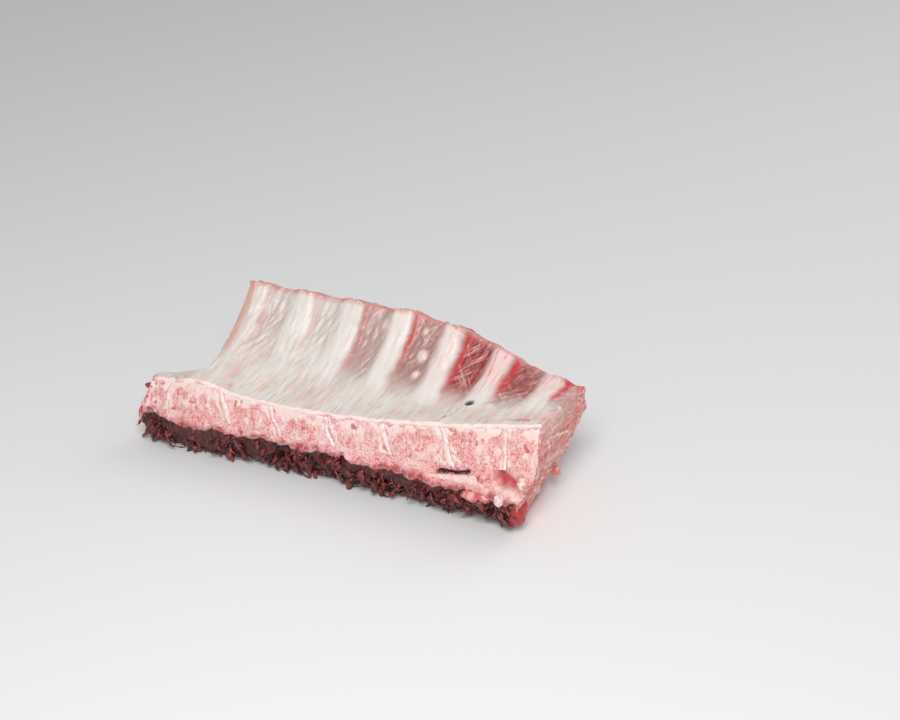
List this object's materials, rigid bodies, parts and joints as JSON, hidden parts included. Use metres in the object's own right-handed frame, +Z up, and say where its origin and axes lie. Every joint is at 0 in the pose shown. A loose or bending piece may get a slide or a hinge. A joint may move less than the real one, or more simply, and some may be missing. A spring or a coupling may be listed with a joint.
{
  "type": "rack of ribs",
  "caption": "Raw rack of back ribs split down the spine: curved ribs under a pale skin, sawn vertebra halves along one edge, dark meat beneath.",
  "frame": {"origin": "centre of the bounding box in X and Y, on the surface the rack lies on", "axes": "+X along the spine towards the deep end of the rack, +Y from the sawn spine towards the rib tips, +Z up from the surface the rack lies on"},
  "size_m": [0.256, 0.0956, 0.0827],
  "materials": {
    "meat": null,
    "bone": null,
    "gristle": null
  },
  "bodies": {
    "root": {"meat": "meat", "vertebra_1": "bone", "vertebra_2": "bone", "vertebra_3": "bone", "vertebra_4": "bone", "vertebra_5": "bone", "vertebra_6": "bone", "vertebra_7": "bone", "vertebra_8": "bone", "rib_1": "bone", "rib_2": "bone", "rib_3": "bone", "rib_4": "bone", "rib_5": "bone", "rib_6": "bone", "rib_7": "bone", "arch_plate": "bone", "disc_1": "gristle", "disc_2": "gristle", "disc_3": "gristle", "disc_4": "gristle", "disc_5": "gristle", "disc_6": "gristle", "disc_7": "gristle"}
  },
  "joints": []
}
